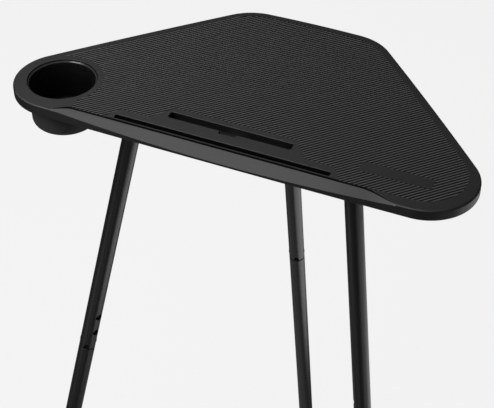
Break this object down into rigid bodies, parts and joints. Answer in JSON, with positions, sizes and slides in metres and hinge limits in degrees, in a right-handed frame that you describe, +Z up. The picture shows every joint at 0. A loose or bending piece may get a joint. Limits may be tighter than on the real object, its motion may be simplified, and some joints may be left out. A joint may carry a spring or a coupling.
{
  "type": "bike trainer desk",
  "caption": "Three-legged standing desk for riding an indoor trainer: tapered tray with tablet and phone slots, grip ribs, drop-in cup holder and splayed telescoping tube legs.",
  "frame": {"origin": "on the floor, under the middle of the desk's box", "axes": "+Z up; the wide edge of the tray, with the slots, faces -Y and the narrow edge +Y; the cup holder is on -X"},
  "size_m": [0.6236, 0.4922, 0.95],
  "materials": {
    "tray_plastic": "satin, moulded",
    "cup_plastic": "satin, moulded",
    "coated_tube": "black powder coat, satin",
    "bare_steel": "zinc plated",
    "dark_steel": "black phosphate",
    "black_screw": "black oxide",
    "black_nylon": "moulded, matt",
    "brass_insert": "turned",
    "foot_rubber": "matt"
  },
  "bodies": {
    "desk_top": {"tray": "tray_plastic", "cup_holder": "cup_plastic", "cup_holder_screw_1": "black_screw", "cup_holder_screw_2": "black_screw", "cup_holder_screw_3": "black_screw", "left_leg_socket": "black_nylon", "left_socket_screw_1": "black_screw", "left_socket_screw_2": "black_screw", "left_socket_screw_3": "black_screw", "left_socket_screw_4": "black_screw", "left_socket_nut": "brass_insert", "left_leg_stud": "bare_steel", "left_leg_plug": "black_nylon", "left_upper_tube": "coated_tube", "left_tube_bush": "black_nylon", "right_leg_socket": "black_nylon", "right_socket_screw_1": "black_screw", "right_socket_screw_2": "black_screw", "right_socket_screw_3": "black_screw", "right_socket_screw_4": "black_screw", "right_socket_nut": "brass_insert", "right_leg_stud": "bare_steel", "right_leg_plug": "black_nylon", "right_upper_tube": "coated_tube", "right_tube_bush": "black_nylon", "rear_leg_socket": "black_nylon", "rear_socket_screw_1": "black_screw", "rear_socket_screw_2": "black_screw", "rear_socket_screw_3": "black_screw", "rear_socket_screw_4": "black_screw", "rear_socket_nut": "brass_insert", "rear_leg_stud": "bare_steel", "rear_leg_plug": "black_nylon", "rear_upper_tube": "coated_tube", "rear_tube_bush": "black_nylon"},
    "left_lower_leg": {"left_lower_tube": "coated_tube", "left_reducing_sleeve": "black_nylon", "left_slider_tube": "dark_steel", "left_slider_guide": "black_nylon", "left_rubber_foot": "foot_rubber"},
    "left_button": {"left_snap_button": "black_screw", "left_spring_clip": "bare_steel"},
    "right_lower_leg": {"right_lower_tube": "coated_tube", "right_reducing_sleeve": "black_nylon", "right_slider_tube": "dark_steel", "right_slider_guide": "black_nylon", "right_rubber_foot": "foot_rubber"},
    "right_button": {"right_snap_button": "black_screw", "right_spring_clip": "bare_steel"},
    "rear_lower_leg": {"rear_lower_tube": "coated_tube", "rear_reducing_sleeve": "black_nylon", "rear_slider_tube": "dark_steel", "rear_slider_guide": "black_nylon", "rear_rubber_foot": "foot_rubber"},
    "rear_button": {"rear_snap_button": "black_screw", "rear_spring_clip": "bare_steel"}
  },
  "joints": [
    {"name": "left_leg_telescope", "type": "slide", "parent": "desk_top", "child": "left_lower_leg", "axis": [-0.1646, -0.1897, -0.968], "range_m": [0, 0.027]},
    {"name": "left_button_press", "type": "slide", "parent": "left_lower_leg", "child": "left_button", "axis": [0.9395, -0.3292, -0.0952], "range_m": [0, 0.0022], "stiffness_N_per_m": 300, "springref_m": 0.0022},
    {"name": "right_leg_telescope", "type": "slide", "parent": "desk_top", "child": "right_lower_leg", "axis": [0.1646, -0.1897, -0.968], "range_m": [0, 0.027]},
    {"name": "right_button_press", "type": "slide", "parent": "right_lower_leg", "child": "right_button", "axis": [-0.9395, -0.3292, -0.0952], "range_m": [0, 0.0022], "stiffness_N_per_m": 300, "springref_m": 0.0022},
    {"name": "rear_leg_telescope", "type": "slide", "parent": "desk_top", "child": "rear_lower_leg", "axis": [0, 0.1551, -0.9879], "range_m": [0, 0.027]},
    {"name": "rear_button_press", "type": "slide", "parent": "rear_lower_leg", "child": "rear_button", "axis": [-0.9522, 0.3019, 0.0474], "range_m": [0, 0.0022], "stiffness_N_per_m": 300, "springref_m": 0.0022}
  ]
}
